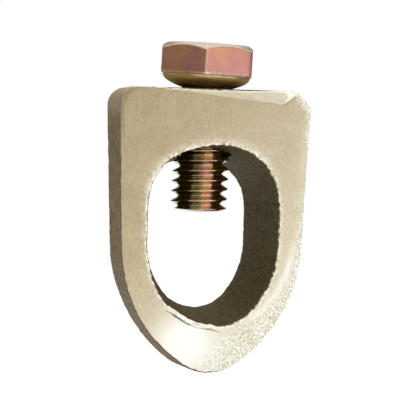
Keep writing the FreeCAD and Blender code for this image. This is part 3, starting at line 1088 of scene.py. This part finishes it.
def zinc_material():
    """Yellow-passivated zinc on steel: coppery, with drifting pink, gold, green and purple."""
    nodes = Nodes("iridescent_yellow_zinc")
    plain = nodes.coordinates()
    head = nodes.mask("head")
    # The head's film is browner and greener to the left, and pinker to the right.
    split = nodes.add("ShaderNodeSeparateXYZ", Vector=plain)
    drift = nodes.math("MULTIPLY", split.outputs["X"], HEAD_FILM_DRIFT)
    film = nodes.ramp(nodes.math("ADD", nodes.noise(plain, 130.0, 2.0, 0.5), drift), HEAD_FILM)
    # Painted shade: the left of the thread is darkened to a dark olive.
    unshaded = nodes.spread(split.outputs["X"], *THREAD_SHADE_EDGE)
    thread_film = nodes.ramp(nodes.noise(plain, 420.0, 2.0), THREAD_FILM)
    thread_film = nodes.blend(unshaded, THREAD_SHADE, thread_film)
    colour = nodes.blend(head, thread_film, film)
    # Painted light: the head's underside is brightened to stand in for light from the lit casting
    # below it.
    colour = nodes.blend(nodes.math("MULTIPLY", nodes.mask("under"), 0.9), colour, LIT_UNDERSIDE_ZINC)
    # Painted light: a glow towards the neck, standing in for light bounced up from the casting.
    colour = nodes.blend(nodes.mask("low"), colour, NECK_GLOW_ZINC)
    fine = nodes.noise(plain, 2600.0, 3.0, 0.55)
    dirt = nodes.ramp(fine, ((0.25, grey(0.84)), (0.55, grey(1.0))))
    colour = nodes.blend(1.0, colour, dirt, "MULTIPLY")
    colour = nodes.blend(nodes.math("MULTIPLY", nodes.mask("chamfer"), 0.85), colour, CHAMFER_ZINC)
    # Partly real wear to bare zinc, partly painted highlight on the corners and lower edges.
    colour = nodes.blend(nodes.mask("wear_and_highlight"), colour, BARE_ZINC_AND_HIGHLIGHT)
    # Painted shade: the end is darkened to stand in for the shaded floor it faces.
    colour = nodes.blend(nodes.mask("tip"), colour, TIP_SHADE_ZINC)
    roughness = nodes.mix_numbers(head, 0.17, nodes.spread(fine, 0.3, 0.7, 0.32, 0.44))
    return nodes.finish(colour, roughness, fine, 0.000003)


def floor_material():
    """Pale, matt and faintly uneven."""
    nodes = Nodes("pale_floor")
    plain = nodes.coordinates()
    soft = nodes.noise(plain, 30.0, 2.0)
    colour = nodes.ramp(soft, ((0.3, grey(0.88)), (0.7, grey(0.91))))
    return nodes.finish(colour, 0.9, soft, 0.0001, 0.0)


# ---- camera, floor and light ----
IMAGE_SIDE = 416
SENSOR = 36.0
FOCAL_PIXELS = 1998.7
CAMERA_AZIMUTH = math.radians(10.4)
CAMERA_ELEVATION = math.radians(2.5)
CAMERA_ROLL = math.radians(1.6)
CAMERA_DISTANCE = 284.0
TARGET = Vector((0.51, 0.0, 8.44))
FLOOR_Z = body_low.z - 10.0
FLOOR_RADIUS = 260.0
LAMP_AIM_Z = 8.0


def make_camera():
    """The camera, aimed at TARGET from in front, a little to the left and above."""
    back = Vector((-math.sin(CAMERA_AZIMUTH) * math.cos(CAMERA_ELEVATION),
                   -math.cos(CAMERA_AZIMUTH) * math.cos(CAMERA_ELEVATION),
                   math.sin(CAMERA_ELEVATION)))
    right = (-back).cross(Vector((0.0, 0.0, 1.0))).normalized()
    up = right.cross(-back)
    rolled_right = right * math.cos(CAMERA_ROLL) + up * math.sin(CAMERA_ROLL)
    rolled_up = up * math.cos(CAMERA_ROLL) - right * math.sin(CAMERA_ROLL)
    turn = Matrix((rolled_right, rolled_up, back)).transposed()
    data = bpy.data.cameras.new("camera")
    data.sensor_width = SENSOR
    data.lens = FOCAL_PIXELS * SENSOR / IMAGE_SIDE
    data.clip_start = 0.01
    data.clip_end = 10.0
    camera = bpy.data.objects.new("camera", data)
    camera.matrix_world = Matrix.Translation((TARGET + back * CAMERA_DISTANCE) * MM) @ turn.to_4x4()
    bpy.context.scene.collection.objects.link(camera)
    bpy.context.scene.camera = camera


def make_floor():
    """A round pale table top, a little below the nose."""
    steps = 96
    points = [(0.0, 0.0, FLOOR_Z)]
    faces = []
    for step in range(steps):
        angle = 2.0 * math.pi * step / steps
        points.append((FLOOR_RADIUS * math.cos(angle), FLOOR_RADIUS * math.sin(angle), FLOOR_Z))
        faces.append((0, 1 + step, 1 + (step + 1) % steps))
    floor = make_object("floor", np.array(points), faces)
    floor.data.materials.append(floor_material())


def make_light(name, azimuth, elevation, distance, size, brightness):
    """A soft rectangular lamp aimed at the object, placed round it by angle in degrees.

    Distance and size are in metres.
    """
    data = bpy.data.lights.new(name, "AREA")
    data.shape = "RECTANGLE"
    data.size = size[0]
    data.size_y = size[1]
    data.energy = brightness * math.pi * size[0] * size[1]
    lamp = bpy.data.objects.new(name, data)
    turn = math.radians(azimuth)
    rise = math.radians(elevation)
    away = Vector((math.sin(turn) * math.cos(rise), -math.cos(turn) * math.cos(rise), math.sin(rise)))
    lamp.location = Vector((0.0, 0.0, LAMP_AIM_Z * MM)) + away * distance
    lamp.rotation_mode = "QUATERNION"
    lamp.rotation_quaternion = away.to_track_quat("Z", "Y")
    lamp.visible_camera = False
    bpy.context.scene.collection.objects.link(lamp)


def make_world():
    """White behind the object, and a softer grey for the light that reaches it from around."""
    world = bpy.data.worlds.new("studio")
    world.use_nodes = True
    tree = world.node_tree
    background = tree.nodes["Background"]
    background.inputs["Color"].default_value = grey(1.0)
    background.inputs["Strength"].default_value = 1.0
    dim = tree.nodes.new("ShaderNodeBackground")
    dim.inputs["Color"].default_value = (1.0, 0.98, 0.95, 1.0)
    dim.inputs["Strength"].default_value = 0.27
    path = tree.nodes.new("ShaderNodeLightPath")
    both = tree.nodes.new("ShaderNodeMixShader")
    tree.links.new(path.outputs["Is Camera Ray"], both.inputs[0])
    tree.links.new(dim.outputs[0], both.inputs[1])
    tree.links.new(background.outputs[0], both.inputs[2])
    tree.links.new(both.outputs[0], tree.nodes["World Output"].inputs["Surface"])
    bpy.context.scene.world = world
    bpy.context.scene.view_settings.view_transform = "Standard"


def make_lights():
    """One wide lamp overhead, and a low thin window that lights the thread's bright band."""
    make_light("overhead", 0.0, 84.0, 1.0, (3.0, 3.0), 1.64)
    make_light("window", 33.0, 1.4, 0.6, (0.60, 0.06), 4.8)


make_camera()
make_world()
make_lights()
make_floor()

casting = make_casting()
cut_hole(casting, make_hole_cutter())
casting.data.materials.clear()
casting.data.materials.append(brass_material())
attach(casting, "clamp_body")
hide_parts("clamp_body")

set_bolt = make_bolt()
set_bolt.data.materials.append(zinc_material())
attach(set_bolt, "hex_bolt")
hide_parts("hex_bolt")
